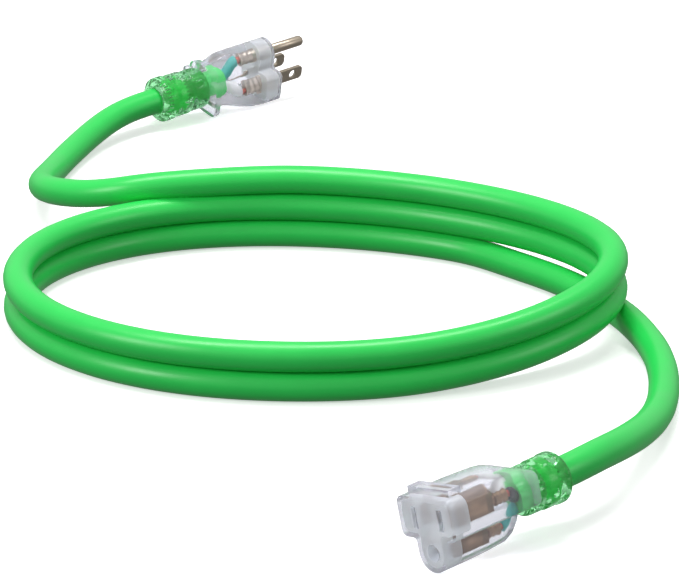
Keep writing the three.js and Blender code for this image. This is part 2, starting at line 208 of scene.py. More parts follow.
def rgba(colour, factor=1.0):
    return tuple(min(1.0, c * factor) for c in colour) + (1.0,)


def speckled(tree, size, colour, contrast, detail=3.0, stretch=(1, 1, 1), turn=(0, 0, 0)):
    """The colour, slightly darker and lighter in soft patches that are size mm across, and the pattern."""
    # a colour mix has its factor in socket 0, its colours in 6 and 7 and its result in output 2
    place = add_node(tree, "ShaderNodeTexCoord").outputs["Object"]
    turned = add_node(tree, "ShaderNodeMapping", {"Rotation": turn, "Scale": stretch}, {"Vector": place},
                      vector_type="TEXTURE")
    noise = add_node(tree, "ShaderNodeTexNoise", {"Scale": per_metre(size), "Detail": detail},
                     {"Vector": turned.outputs["Vector"]})
    mix = add_node(tree, "ShaderNodeMix",
                   {6: rgba(colour, 1 - contrast), 7: rgba(colour, 1 + contrast)},
                   {0: noise.outputs["Fac"]}, data_type="RGBA")
    return mix.outputs[2], noise.outputs["Fac"]


def ranged(tree, source, low, high):
    """A noise pattern, which lies mostly between 0.3 and 0.7, spread between two values."""
    spread = {"From Min": 0.3, "From Max": 0.7, "To Min": low, "To Max": high}
    return add_node(tree, "ShaderNodeMapRange", spread, {"Value": source}).outputs["Result"]


def finish_surface(tree, shader):
    add_node(tree, "ShaderNodeOutputMaterial", links={"Surface": shader})


def extruded_vinyl(colour):
    # Soft PVC jacket, extruded hot: an even satin skin with a broad soft gloss and barely seen flow marks.
    material, tree = new_material("PVC jacket, extruded")
    if tree:
        base, patches = speckled(tree, 14, colour, 0.05)
        grain = add_node(tree, "ShaderNodeTexNoise", {"Scale": per_metre(0.9), "Detail": 2.0},
                         {"Vector": add_node(tree, "ShaderNodeTexCoord").outputs["Object"]})
        bump = add_node(tree, "ShaderNodeBump", {"Strength": 0.06, "Distance": 0.0004},
                        {"Height": grain.outputs["Fac"]})
        shader = add_node(tree, "ShaderNodeBsdfPrincipled", {"IOR": 1.52, "Specular IOR Level": 0.5},
                          {"Base Color": base, "Roughness": ranged(tree, patches, 0.3, 0.38),
                           "Normal": bump.outputs["Normal"]})
        finish_surface(tree, shader.outputs["BSDF"])
    return material


def clear_vinyl(name, colour, transmission, roughness, ior, shadow=0.97):
    # Transparent PVC, injection moulded in a blasted tool: a light haze in the piece's tint that lets the
    # conductors show through, with soft broken highlights. Less transmission makes it milkier and more
    # roughness blurs what is inside. The lamps light what is inside by the share that shadow gives.
    material, tree = new_material(name)
    if tree:
        base, patches = speckled(tree, 6, colour, 0.03)
        wave = add_node(tree, "ShaderNodeTexNoise", {"Scale": per_metre(3.5), "Detail": 2.0},
                        {"Vector": add_node(tree, "ShaderNodeTexCoord").outputs["Object"]})
        bump = add_node(tree, "ShaderNodeBump", {"Strength": 0.12, "Distance": 0.0006},
                        {"Height": wave.outputs["Fac"]})
        gloss = ranged(tree, patches, roughness, roughness + 0.07)
        shader = add_node(tree, "ShaderNodeBsdfPrincipled",
                          {"IOR": ior, "Transmission Weight": transmission},
                          {"Base Color": base, "Roughness": gloss, "Normal": bump.outputs["Normal"]})
        passing = add_node(tree, "ShaderNodeBsdfTransparent", {"Color": rgba(colour, shadow)})
        rays = add_node(tree, "ShaderNodeLightPath")
        mix = add_node(tree, "ShaderNodeMixShader",
                       links={0: rays.outputs["Is Shadow Ray"], 1: shader.outputs["BSDF"],
                              2: passing.outputs["BSDF"]})
        finish_surface(tree, mix.outputs["Shader"])
    return material


def frosted_vinyl(finishes):
    # Milky PVC, moulded matt: mostly haze, so that the metal in it is only a shade.
    return clear_vinyl("Frosted PVC, moulded", finishes.frosted, transmission=0.52, roughness=0.32, ior=1.1)


def plated_metal(name, colour, roughness, grain, turn):
    # Plated or rolled strip: fine drawing lines along the piece that pull the highlights out sideways.
    # The lines are drawn at about half a millimetre, coarser than real ones, so that they show.
    material, tree = new_material(name)
    if tree:
        base, lines = speckled(tree, 0.5, colour, grain, 2.0, (30, 1, 1), turn)
        bump = add_node(tree, "ShaderNodeBump", {"Strength": 0.15, "Distance": 0.0002}, {"Height": lines})
        gloss = ranged(tree, lines, roughness, roughness + 0.14)
        shader = add_node(tree, "ShaderNodeBsdfPrincipled", {"Metallic": 1.0},
                          {"Base Color": base, "Roughness": gloss, "Normal": bump.outputs["Normal"]})
        finish_surface(tree, shader.outputs["BSDF"])
    return material


def wire_insulation(name, colour):
    # PVC wire insulation, extruded thin: a plain waxy colour with a close soft sheen.
    material, tree = new_material(name)
    if tree:
        base, patches = speckled(tree, 3, colour, 0.06)
        shader = add_node(tree, "ShaderNodeBsdfPrincipled", {"IOR": 1.5},
                          {"Base Color": base, "Roughness": ranged(tree, patches, 0.34, 0.44)})
        finish_surface(tree, shader.outputs["BSDF"])
    return material


def studio_paper():
    # Seamless paper sweep: matt white with a faint tooth.
    material, tree = new_material("Studio paper, matt white")
    if tree:
        base, _ = speckled(tree, 40, linear("#F4F4F4"), 0.01)
        shader = add_node(tree, "ShaderNodeBsdfPrincipled",
                          {"Roughness": 0.9, "Specular IOR Level": 0.1, "Emission Color": rgba((1,) * 3),
                           "Emission Strength": 0.5}, {"Base Color": base})
        material.cycles.emission_sampling = "NONE"
        finish_surface(tree, shader.outputs["BSDF"])
    return material


# ---- placing and finishing ----------------------------------------------------------------------
def end_frame(place, mouth):
    """The matrix from an end's own frame, in mm, to the row frame, in metres."""
    heading, pitch, roll = (math.radians(place[key]) for key in ("heading", "pitch", "roll"))
    level = math.cos(pitch)
    axis = Vector((math.cos(heading) * level, math.sin(heading) * level, math.sin(pitch)))
    across = Vector((-math.sin(heading), math.cos(heading), 0)) * place["upright"]
    ground = axis.cross(across)
    turn = Matrix.Rotation(roll, 3, axis)
    basis = Matrix((axis, turn @ across, turn @ ground)).transposed().to_4x4()
    origin = (Vector(place["start"]) - MIDWAY - axis * mouth) * MM
    return Matrix.Translation(origin) @ basis @ Matrix.Scale(MM, 4)


PLUG_FRAME = end_frame(PLUG_PLACE, PLUG_MOUTH)
CONNECTOR_FRAME = end_frame(CONNECTOR_PLACE, CONNECTOR_MOUTH)
PLUG_TURN = (0, 0, math.radians(PLUG_PLACE["heading"]))
CONNECTOR_TURN = (0, 0, math.radians(CONNECTOR_PLACE["heading"]))


def add_object(name, data, material):
    thing = bpy.data.objects.new(name, data)
    bpy.context.scene.collection.objects.link(thing)
    data.materials.append(material)
    return thing


def add_piece(name, bm, matrix, material, nodes, bevel=0.0, subdivide=0):
    """Turns the bmesh, made in mm in an end's frame, into a finished piece in the row frame."""
    bmesh.ops.remove_doubles(bm, verts=bm.verts, dist=MERGE)
    bmesh.ops.recalc_face_normals(bm, faces=bm.faces)
    bmesh.ops.transform(bm, matrix=matrix, verts=bm.verts)
    mesh = bpy.data.meshes.new(name)
    bm.to_mesh(mesh)
    bm.free()
    mesh.shade_smooth()
    piece = add_object(name, mesh, material)
    if bevel:
        edge = piece.modifiers.new("Moulded edges", "BEVEL")
        edge.width = bevel * MM
        edge.segments = 3
        edge.limit_method = "ANGLE"
        edge.angle_limit = math.radians(34)
        edge.harden_normals = True
    if subdivide:
        smooth = piece.modifiers.new("Rounding", "SUBSURF")
        smooth.levels = smooth.render_levels = subdivide
    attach(piece, BODY)
    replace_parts(piece, *nodes)
    return piece


# ---- shapes, in an end's own frame --------------------------------------------------------------
def spun(bm, profile, y=0.0, z=0.0, steps=32):
    """Spins a profile of (x, radius) points about the line through y and z."""
    verts = [bm.verts.new((x, y, z + radius)) for x, radius in profile]
    edges = [bm.edges.new(pair) for pair in zip(verts, verts[1:])]
    bmesh.ops.spin(bm, geom=verts + edges, cent=(0, y, z), axis=(1, 0, 0), angle=2 * math.pi,
                   steps=steps, use_merge=True, use_duplicate=False)
    bmesh.ops.remove_doubles(bm, verts=bm.verts, dist=MERGE)


def made_of(kind, geom):
    """The verts, edges or faces among what an operator returns."""
    return [g for g in geom if isinstance(g, kind)]


def extruded(bm, geom, vec, keep=False):
    """Extrudes faces and moves the new ones along vec. With keep, the old ones stay as the other side."""
    grown = bmesh.ops.extrude_face_region(bm, geom=geom, use_keep_orig=keep)["geom"]
    bmesh.ops.translate(bm, vec=vec, verts=made_of(bmesh.types.BMVert, grown))


def next_cap(bm, cap, first):
    """Extrudes the end face of a growing piece and returns the new end."""
    # the first cap stays behind as the closed start of the piece
    grown = bmesh.ops.extrude_face_region(bm, geom=[cap, *cap.edges], use_keep_orig=first)["geom"]
    return made_of(bmesh.types.BMFace, grown)[0]


def swept(bm, path, radius, sides=20):
    """Sweeps a capped circle along the path."""
    made = bmesh.ops.create_circle(bm, cap_ends=True, radius=radius, segments=sides)
    ring = made["verts"]
    cap = ring[0].link_faces[0]
    heading = Vector((0, 0, 1))
    place = Vector((0, 0, 0))
    for index, point in enumerate(path):
        ahead = path[min(index + 1, len(path) - 1)] - path[max(index - 1, 0)]
        turn = heading.rotation_difference(ahead.normalized()).to_matrix().to_4x4()
        if index:
            cap = next_cap(bm, cap, index == 1)
            ring = list(cap.verts)
        matrix = Matrix.Translation(point) @ turn @ Matrix.Translation(-place)
        bmesh.ops.transform(bm, matrix=matrix, verts=ring)
        heading, place = ahead.normalized(), point


def outline_face(bm, corners, x):
    """The first face of a piece, across the axis, from (y, z, rounding) corners."""
    verts = [bm.verts.new((x, y, z)) for y, z, _ in corners]
    bm.faces.new(verts)
    for vert, (_, _, rounding) in zip(verts, corners):
        if rounding:
            bmesh.ops.bevel(bm, geom=[vert], offset=rounding, offset_type="OFFSET",
                            segments=6 if rounding > 4 else 4, profile=0.5, affect="VERTICES",
                            material=-1, clamp_overlap=True)
    return next(iter(bm.faces))


def body_corners(inset=0.0):
    """The corners of the bodies' outline with their roundings, moved in by the inset."""
    half, top, floor = BLOCK_HALF - inset, BLOCK_TOP - inset, BLOCK_FLOOR + inset
    lobe, peak = LOBE_HALF - inset, LOBE_TOP - inset
    nearly_half_round = lobe - 0.05
    side = [(half, floor, 3.0), (half, top, 2.6), (lobe, top, 1.4), (lobe, peak, nearly_half_round)]
    return side + [(-y, z, rounding) for y, z, rounding in reversed(side)]


def hole_rim(bm, radius, matrix):
    """The edges of a circle, in the same order each time."""
    rim = bmesh.ops.create_circle(bm, cap_ends=False, radius=radius, segments=HOLE_SIDES, matrix=matrix)
    bm.edges.index_update()
    return sorted({e for v in rim["verts"] for e in v.link_edges}, key=lambda e: e.index)


def socket_loops(bm, x, grow=0.0):
    """The rims of the two blade slots and the ground hole, as edges across the axis."""
    edges = []
    for side in (-1, 1):
        half, tall = SLOT_HALF + grow, SLOT_TALL / 2 + grow
        rim = [bm.verts.new((x, side * HALF_SPACING + y, BLADE_HEIGHT + z))
               for y, z in ((-half, -tall), (half, -tall), (half, tall), (-half, tall))]
        edges += [bm.edges.new(pair) for pair in zip(rim, rim[1:] + rim[:1])]
    middle = Matrix.Translation((x, 0, GROUND_HEIGHT))
    return edges + hole_rim(bm, GROUND_HOLE + grow, middle @ Matrix.Rotation(math.radians(90), 4, "Y"))


def pierced(bm, face, grow=0.0):
    """Replaces a face across the axis with one that has the slots and the hole. Returns faces and rims."""
    x = face.calc_center_median().x
    outline = list(face.edges)
    bmesh.ops.delete(bm, geom=[face], context="FACES_ONLY")
    rims = socket_loops(bm, x, grow)
    filled = bmesh.ops.triangle_fill(bm, use_beauty=True, edges=outline + rims)["geom"]
    return made_of(bmesh.types.BMFace, filled), rims


def loft(bm, corners, stations):
    """Extrudes an outline through stations of (x, half width, floor, shelf, lobe half width, peak)."""
    face = outline_face(bm, corners, stations[0][0])
    home_y = bm.verts.layers.float.new("home_y")
    home_z = bm.verts.layers.float.new("home_z")
    for vert in face.verts:
        vert[home_y], vert[home_z] = vert.co.y, vert.co.z
    for index, (x, half, floor, shelf, lobe_half, peak) in enumerate(stations):
        if index:
            face = next_cap(bm, face, index == 1)
        for vert in face.verts:
            y, z = vert[home_y], vert[home_z]
            above = (z - BLOCK_TOP) / (LOBE_TOP - BLOCK_TOP)
            if above > 0.001:
                blend = min(1, above * SHOULDER)
                width = half / BLOCK_HALF * (1 - blend) + lobe_half / LOBE_HALF * blend
                vert.co = (x, y * width, shelf + (peak - shelf) * above)
            else:
                rise = (z - BLOCK_FLOOR) / (BLOCK_TOP - BLOCK_FLOOR)
                vert.co = (x, y * half / BLOCK_HALF, floor + (shelf - floor) * rise)


def wire_path(lane, rear, front, steps=14):
    """Centre of a conductor from where it leaves the jacket to its terminal."""
    (y0, z0), (y1, z1) = lane["leaves"], lane["terminal"]
    reach = (front - rear) * 0.5
    return interpolate_bezier(Vector((rear, y0, z0)), Vector((rear + reach, y0, z0)),
                              Vector((front - reach, y1, z1)), Vector((front, y1, z1)), steps)


def lanes(line_side):
    """Where each of the three evenly laid wires leaves the jacket and where its terminal is, as (y, z)."""
    spread = WIRE_PITCH * math.cos(math.radians(30))
    low = -WIRE_PITCH * math.sin(math.radians(30))
    found = {pole: {"leaves": (side * spread, low), "terminal": (side * HALF_SPACING, BLADE_HEIGHT)}
             for pole, side in (("line", line_side), ("neutral", -line_side))}
    found["ground"] = {"leaves": (0, WIRE_PITCH), "terminal": (0, GROUND_HEIGHT)}
    return found


PLUG_LANES = lanes(1)
CONNECTOR_LANES = lanes(-1)


def strand_bundle(bm, path, bundle=1.3, lay=7.0):
    """Seven bare wires, six of them laid round the middle one, once round in every lay mm."""
    single, sides = bundle / 3, 10
    swept(bm, path, single, sides)
    for index in range(6):
        strand = []
        for point in path:
            angle = 2 * math.pi * (index / 6 + (point.x - path[0].x) / lay)
            strand.append(point + Vector((0, math.cos(angle), math.sin(angle))) * 2 * single)
        swept(bm, strand, single, sides)


def crimped_sleeve(bm, rear, front, y, z):
    """A drawn sleeve with a bell mouth and two pressed rings, closed at the front."""
    barrel, pressed, mouth, nose = 2.25, 1.98, 2.3, 2.05
    outside = [(0, CRIMP_BORE), (0, mouth), (0.05, mouth + 0.12), (0.12, mouth)]
    for ring in (0.22, 0.56):
        outside += [(ring, barrel), (ring + 0.08, pressed), (ring + 0.18, pressed), (ring + 0.26, barrel)]
    outside += [(0.96, barrel), (1, nose)]
    bottom = front - 1.5
    profile = [(bottom, 0), (bottom, CRIMP_BORE)]
    profile += [(rear + share * (front - rear), radius) for share, radius in outside]
    spun(bm, profile + [(front, 0)], y, z, steps=24)


def flat_blade(bm, sizes, y, rear):
    """A punched blade: chamfered tip, round hole, edges broken by the press."""
    half, tip = sizes.blade_width / MM / 2, sizes.blade_length / MM
    thickness = sizes.blade_thickness / MM
    side = y - thickness / 2
    chamfer, nose, hole_radius, hole_back, broken_edge = 1.4, 0.4, 1.9, 5.6, 0.16
    corner = [(rear, 0), (tip - chamfer, 0), (tip - nose, chamfer * 0.6), (tip, chamfer * 1.2)]
    outline = [(x, BLADE_HEIGHT - half + up) for x, up in corner]
    outline += [(x, BLADE_HEIGHT + half - down) for x, down in reversed(corner)]
    verts = [bm.verts.new((x, side, z)) for x, z in outline]
    edges = [bm.edges.new(pair) for pair in zip(verts, verts[1:] + verts[:1])]
    middle = Matrix.Translation((tip - hole_back, side, BLADE_HEIGHT))
    edges += hole_rim(bm, hole_radius, middle @ Matrix.Rotation(math.radians(90), 4, "X"))
    filled = bmesh.ops.triangle_fill(bm, use_beauty=True, edges=edges)["geom"]
    extruded(bm, made_of(bmesh.types.BMFace, filled), (0, thickness, 0), keep=True)
    bmesh.ops.recalc_face_normals(bm, faces=bm.faces)
    sharp = [e for e in bm.edges if e.is_manifold and e.calc_face_angle(0) > math.radians(40)]
    bmesh.ops.bevel(bm, geom=sharp, offset=broken_edge, offset_type="OFFSET", segments=2,
                    profile=0.5, affect="EDGES", material=-1, clamp_overlap=True)


def folded_contact(bm, rear, front, gap, width, y, z):
    """A strip folded into a U with pressed cross ribs and flared lips that grips between its two leaves."""
    metal, bend, lip, flare = 0.8, 0.5, 1, 0.35
    rib_inset, rib_foot, rib_crest, rib_height = 3.2, 0.55, 0.2, 0.32
    outer, inner = gap / 2 + metal, gap / 2
    half_line = [(rear, 0), (rear, outer - bend), (rear + bend, outer)]
    for rib in (rear + rib_inset, front - rib_inset):
        crest = outer + rib_height
        half_line += [(rib - rib_foot, outer), (rib - rib_crest, crest), (rib + rib_crest, crest),
                      (rib + rib_foot, outer)]
    half_line += [(front - lip, outer), (front, outer + flare)]
    half_line += [(front, inner + 0.5), (front - 1.1 * lip, inner)]
    half_line += [(rear + metal, inner), (rear + metal, 0)]
    loop = half_line + [(x, -side) for x, side in reversed(half_line) if side]
    face = bm.faces.new([bm.verts.new((x, y + side, z - width / 2)) for x, side in loop])
    extruded(bm, [face], (0, 0, width), keep=True)


def relief_sleeve(bm, mouth, front, rings, largest, smallest, bore):
    """A moulded sleeve of rings with oval dimples pressed between its ribs, staggered round the cord."""
    around, repeat = 24, 4
    span = (front - mouth) / rings
    lip, nose, groove, edge, crown = 1.1, 0.4, 1.9, 0.5, 0.05
    lead = [2.4] + [0.7] * (rings - 1)  # from a ring's start to its full radius; the first one is a cone
    crown_ends, ring_ends, groove_starts = 1.9, 1.4, 0.95  # counted back from the next ring
    profile = [(mouth, bore), (mouth, bore + lip)]
    for index in range(rings):
        start, end = mouth + index * span, mouth + index * span + span
        radius = largest + (smallest - largest) * index / (rings - 1)
        profile += [(start + lead[index], radius), (start + lead[index] + edge, radius + crown)]
        profile += [(end - crown_ends, radius + crown), (end - ring_ends, radius)]
        if index < rings - 1:
            profile += [(end - groove_starts, radius - groove), (end, radius - groove)]
    profile += [(front, smallest - nose), (front, bore)]
    spun(bm, profile + [profile[0]], steps=around)
    bmesh.ops.recalc_face_normals(bm, faces=bm.faces)
    for index in range(rings):
        start = mouth + index * span
        middle = start + (lead[index] + edge + span - crown_ends) / 2
        picked = []
        for face in bm.faces:
            centre = face.calc_center_median()
            outside = math.hypot(centre.y, centre.z) > bore + lip
            place = round(math.degrees(math.atan2(centre.z, centre.y)) / (360 / around) - 0.5) % around
            dimpled = (place + repeat // 2 * index) % repeat < repeat // 2
            if abs(centre.x - middle) < 0.8 and outside and dimpled:
                picked.append(face)
        # a flat border, then a shallow and a deep step down
        for thickness, depth in ((0.4, 0.0), (0.25, -0.4), (0.3, -1.1)):
            bmesh.ops.inset_region(bm, faces=picked, thickness=thickness, depth=depth, use_boundary=True,
                                   use_even_offset=True)


# ---- stage and operators ------------------------------------------------------------------------
def place_camera(scene):
    elevation = math.radians(CAMERA_ELEVATION)
    camera = bpy.data.cameras.new("Camera")
    camera.lens, camera.sensor_width = CAMERA_LENS, CAMERA_SENSOR
    camera.clip_end = CAMERA_FAR
    viewer = bpy.data.objects.new("Camera", camera)
    back = Vector((0, -math.cos(elevation), math.sin(elevation)))
    viewer.location = -MIDWAY * MM + CAMERA_DISTANCE * back
    aim = (CAMERA_AIM - MIDWAY) * MM - viewer.location
    viewer.rotation_euler = aim.to_track_quat("-Z", "Y").to_euler()
    scene.collection.objects.link(viewer)
    scene.camera = viewer


def hang_lamps(scene):
    """Soft lamps that face the object, as name, place and size in metres and power in watts."""
    lamps = [
        ("Overhead softbox", (-0.1, 0.2, 1.5), (1.4, 0.3), 18),
        ("Left softbox", (-1.4, -0.9, 0.9), (0.7, 0.7), 12),
        ("Right softbox", (1.6, -0.6, 0.8), (0.7, 0.7), 4),
    ]
    for name, place, (width, depth), power in lamps:
        lamp = bpy.data.lights.new(name, "AREA")
        lamp.shape, lamp.size, lamp.size_y, lamp.energy = "RECTANGLE", width, depth, power
        holder = bpy.data.objects.new(name, lamp)
        holder.location = place
        holder.rotation_euler = (-Vector(place)).to_track_quat("-Z", "Y").to_euler()
        scene.collection.objects.link(holder)


def white_studio():
    """An even sky, nearly dark below the floor, brighter where it is mirrored and where it is seen."""
    world = bpy.data.worlds.new("White studio")
    world.use_nodes = True
    tree = world.node_tree
    tree.nodes.clear()
    way = add_node(tree, "ShaderNodeTexCoord").outputs["Generated"]
    height = add_node(tree, "ShaderNodeSeparateXYZ", links={0: way}).outputs["Z"]
    below_and_above = {"From Min": -0.08, "From Max": 0.02, "To Min": 0.17, "To Max": 0.54}
    light = add_node(tree, "ShaderNodeMapRange", below_and_above, {"Value": height}).outputs["Result"]
    rays = add_node(tree, "ShaderNodeLightPath").outputs
    direct = add_node(tree, "ShaderNodeMath", {1: 0.5}, {0: rays["Diffuse Depth"]},
                      operation="LESS_THAN").outputs["Value"]
    seen_through = add_node(tree, "ShaderNodeMath", links={0: rays["Is Transmission Ray"], 1: direct},
                            operation="MULTIPLY").outputs["Value"]
    for kind, extra in ((rays["Is Glossy Ray"], 0.16), (rays["Is Camera Ray"], 0.5), (seen_through, 0.5)):
        light = add_node(tree, "ShaderNodeMath", {1: extra}, {0: kind, 2: light},
                         operation="MULTIPLY_ADD").outputs["Value"]
    sky = add_node(tree, "ShaderNodeBackground", links={"Strength": light})
    add_node(tree, "ShaderNodeOutputWorld", links={"Surface": sky.outputs["Background"]})
    return world


class EXTCORD_OT_stage(bpy.types.Operator):
    """Make the camera, the lamps, the world and the paper floor"""

    bl_idname = "extcord.stage"
    bl_label = "Stage"

    def execute(self, context):
        scene = context.scene
        place_camera(scene)
        hang_lamps(scene)
        scene.world = white_studio()
        scene.view_settings.view_transform = "Standard"

        bm = bmesh.new()
        metres_each_way = 12.0
        bmesh.ops.create_grid(bm, x_segments=4, y_segments=4, size=metres_each_way)
        mesh = bpy.data.meshes.new("Paper floor")
        bm.to_mesh(mesh)
        bm.free()
        floor = add_object("Paper floor", mesh, studio_paper())
        # the paper lights and mirrors nothing, so that the cord keeps its darker underside
        floor.visible_diffuse = floor.visible_glossy = False
        return {"FINISHED"}


def coil_point(degrees):
    """The centre line of the turns; 0 is the left end, 90 the back, 180 the right end."""
    def drop(turned):
        share = min(1, max(0, (turned - DROP_START) / DROP_SPAN))
        return share * share * (3 - 2 * share)

    angle = math.radians(180 - degrees)
    layer = COIL_LAYERS - drop(degrees) - drop(degrees - 360)
    depth = COIL_HALF_DEPTH * math.sin(angle) * (1 - COIL_TAPER * math.cos(angle))
    return Vector((COIL_CENTRE_X + COIL_HALF_LENGTH * math.cos(angle),
                   depth + COIL_SKEW * math.cos(angle), TURN_HEIGHT * (layer + 0.5)))


def cord_route():
    """Points of the whole cord in the row frame, from inside the connector to inside the plug."""
    count = round((COIL_TO - COIL_FROM) / COIL_STEP)
    turns = [coil_point(COIL_FROM + (COIL_TO - COIL_FROM) * i / count) for i in range(count + 1)]
    points = [Vector(p) for p in PLUG_ROUTE[:-1]] + turns + [Vector(p) for p in CONNECTOR_ROUTE]
    free = [(point - MIDWAY) * MM for point in points]
    into_plug = [PLUG_FRAME @ Vector((x, 0, 0)) for x in PLUG_STRAIGHT]
    into_connector = [CONNECTOR_FRAME @ Vector((x, 0, 0)) for x in CONNECTOR_STRAIGHT]
    return list(reversed(into_plug + free + into_connector))


class EXTCORD_OT_cord(bpy.types.Operator):
    """Lay the jacketed cord from the connector round the coil to the plug"""

    bl_idname = "extcord.cord"
    bl_label = "Cord"

    def execute(self, context):
        sizes, finishes = context.scene.extcord_cord, context.scene.extcord_finishes
        curve = bpy.data.curves.new("cord_jacket", "CURVE")
        curve.dimensions = "3D"
        steps = 5
        curve.resolution_u = curve.render_resolution_u = steps
        curve.bevel_depth = sizes.diameter / 2
        curve.bevel_resolution = sizes.sides
        curve.use_fill_caps = True
        route = cord_route()
        line = curve.splines.new("NURBS")
        line.points.add(len(route) - 1)
        for knot, point in zip(line.points, route):
            knot.co = (*point, 1)
        line.order_u = 4
        line.use_endpoint_u = True
        line.resolution_u = steps
        piece = add_object("cord_jacket", curve, extruded_vinyl(finishes.jacket))
        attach(piece, BODY)
        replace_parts(piece, "cord_coil", "cord_plug_stretch", "cord_connector_stretch",
                    "plug_jacket_end", "connector_jacket_end")
        return {"FINISHED"}


class EXTCORD_OT_plug_moulding(bpy.types.Operator):
    """Mould the plug's clear body and its frosted blade carrier"""

    bl_idname = "extcord.plug_moulding"
    bl_label = "Plug moulding"

    def execute(self, context):
        finishes = context.scene.extcord_finishes
        clear = clear_vinyl("Clear PVC, moulded", finishes.clear,
                            transmission=0.8, roughness=0.09, ior=1.24, shadow=0.8)
        frosted = frosted_vinyl(finishes)
        bm = bmesh.new()
        loft(bm, body_corners(), [
            (0, *FULL_SECTION), (-9, *FULL_SECTION),
            (-15, 13.1, -11.4, 2.8, 6.8, 14.5), (-21, 12.0, -10.3, 2.7, 6.7, 14.5),
            (-26, 10.6, -8.9, 2.6, 6.7, 14.4), (-28.5, 9.9, -8.2, 2.6, 6.7, 13.9),
            (-30.8, 9.6, -7.9, 2.8, 6.8, 12.4), (-32.8, 9.9, -8.1, 3.2, 7.0, 10.6),
            (-34, 11.0, -9.2, 4.4, 7.5, 10.7), (-34.9, 12.5, -10.6, 5.4, 8.0, 11.5),
            (-37.5, 12.7, -10.8, 5.6, 8.1, 11.7), (PLUG_BODY_REAR, 12.4, -10.5, 5.3, 7.9, 11.4),
        ])
        add_piece("plug_clear_body", bm, PLUG_FRAME, clear, ["plug_body"], bevel=0.5)
        bm = bmesh.new()
        loft(bm, body_corners(inset=1.3), [(x, *FULL_SECTION) for x in (-0.9, -8)])
        add_piece("plug_frosted_carrier", bm, PLUG_FRAME, frosted, ["plug_blade_carrier"],
                  bevel=0.4)
        return {"FINISHED"}


class EXTCORD_OT_reliefs(bpy.types.Operator):
    """Mould the ringed strain reliefs on both ends"""

    bl_idname = "extcord.reliefs"
    bl_label = "Strain reliefs"

    def execute(self, context):
        sizes, finishes = context.scene.extcord_cord, context.scene.extcord_finishes
        clear = clear_vinyl("Clear PVC, soft sleeve", finishes.sleeve,
                            transmission=0.88, roughness=0.08, ior=1.3, shadow=0.25)
        grip = 0.12  # how far the sleeve's bore lies in the jacket, so that no gap shows
        bore = sizes.diameter / MM / 2 - grip
        ends = [
            ("plug", PLUG_FRAME, PLUG_MOUTH, PLUG_BODY_REAR, 10.2, 9.4),
            ("connector", CONNECTOR_FRAME, CONNECTOR_MOUTH, CONNECTOR_BODY_REAR, 9.4, 8.8),
        ]
        for end, matrix, mouth, front, largest, smallest in ends:
            bm = bmesh.new()
            relief_sleeve(bm, mouth, front, 3, largest, smallest, bore)
            add_piece(f"{end}_ringed_relief", bm, matrix, clear, [f"{end}_strain_relief"],
                      subdivide=2)
        return {"FINISHED"}


class EXTCORD_OT_blades(bpy.types.Operator):
    """Stamp the two blades and turn the ground pin, each with its crimped sleeve"""

    bl_idname = "extcord.blades"
    bl_label = "Plug blades and pin"

    def execute(self, context):
        sizes, finishes = context.scene.extcord_contacts, context.scene.extcord_finishes
        nickel = plated_metal("Nickel plate on brass, brushed", finishes.nickel,
                              roughness=0.3, grain=0.16, turn=PLUG_TURN)
        crimp = (-17, BLADE_REAR + 0.5)
        for pole in ("line", "neutral"):
            y, z = PLUG_LANES[pole]["terminal"]
            bm = bmesh.new()
            flat_blade(bm, sizes, y, BLADE_REAR)
            crimped_sleeve(bm, *crimp, y, z)
            add_piece(f"plug_{pole}_stamped_blade", bm, PLUG_FRAME, nickel,
                      [f"plug_{pole}_blade"])
        y, z = PLUG_LANES["ground"]["terminal"]
        radius, tip = sizes.pin_diameter / MM / 2, sizes.pin_length / MM
        bm = bmesh.new()
        spun(bm, [(BLADE_REAR, 0), (BLADE_REAR, radius), (tip - 2.0, radius), (tip - 1.2, radius * 0.94),
                  (tip - 0.6, radius * 0.78), (tip - 0.2, radius * 0.5), (tip, 0)], y, z)
        crimped_sleeve(bm, *crimp, y, z)
        add_piece("plug_round_ground_pin", bm, PLUG_FRAME, nickel, ["plug_ground_pin"])
        return {"FINISHED"}


class EXTCORD_OT_conductors(bpy.types.Operator):
    """Run the insulated wires and their bare strands inside both ends"""

    bl_idname = "extcord.conductors"
    bl_label = "Wires and strands"

    def execute(self, context):
        finishes = context.scene.extcord_finishes
        copper = plated_metal("Copper, drawn strand", finishes.copper,
                              roughness=0.35, grain=0.1, turn=(0, 0, 0))
        ends = [
            ("plug", PLUG_FRAME, PLUG_LANES, PLUG_JACKET_END, -19, -11.5),
            ("connector", CONNECTOR_FRAME, CONNECTOR_LANES, CONNECTOR_JACKET_END, -30, -25),
        ]
        for end, matrix, conductors, rear, bare, inside in ends:
            for pole, lane in conductors.items():
                insulation = wire_insulation(f"PVC insulation, {pole}", getattr(finishes, pole))
                bm = bmesh.new()
                swept(bm, wire_path(lane, rear + WIRE_CLEARANCE, bare), WIRE_RADIUS)
                add_piece(f"{end}_{pole}_insulated_wire", bm, matrix, insulation,
                          [f"{end}_{pole}_wire"])
                y, z = lane["terminal"]
                bm = bmesh.new()
                steps = 8
                strand_bundle(bm, [Vector((bare - STRAND_OVERLAP + (inside - bare) * i / steps, y, z))
                                   for i in range(steps + 1)])
                add_piece(f"{end}_{pole}_bare_strands", bm, matrix, copper,
                          [f"{end}_{pole}_strands"])
        return {"FINISHED"}


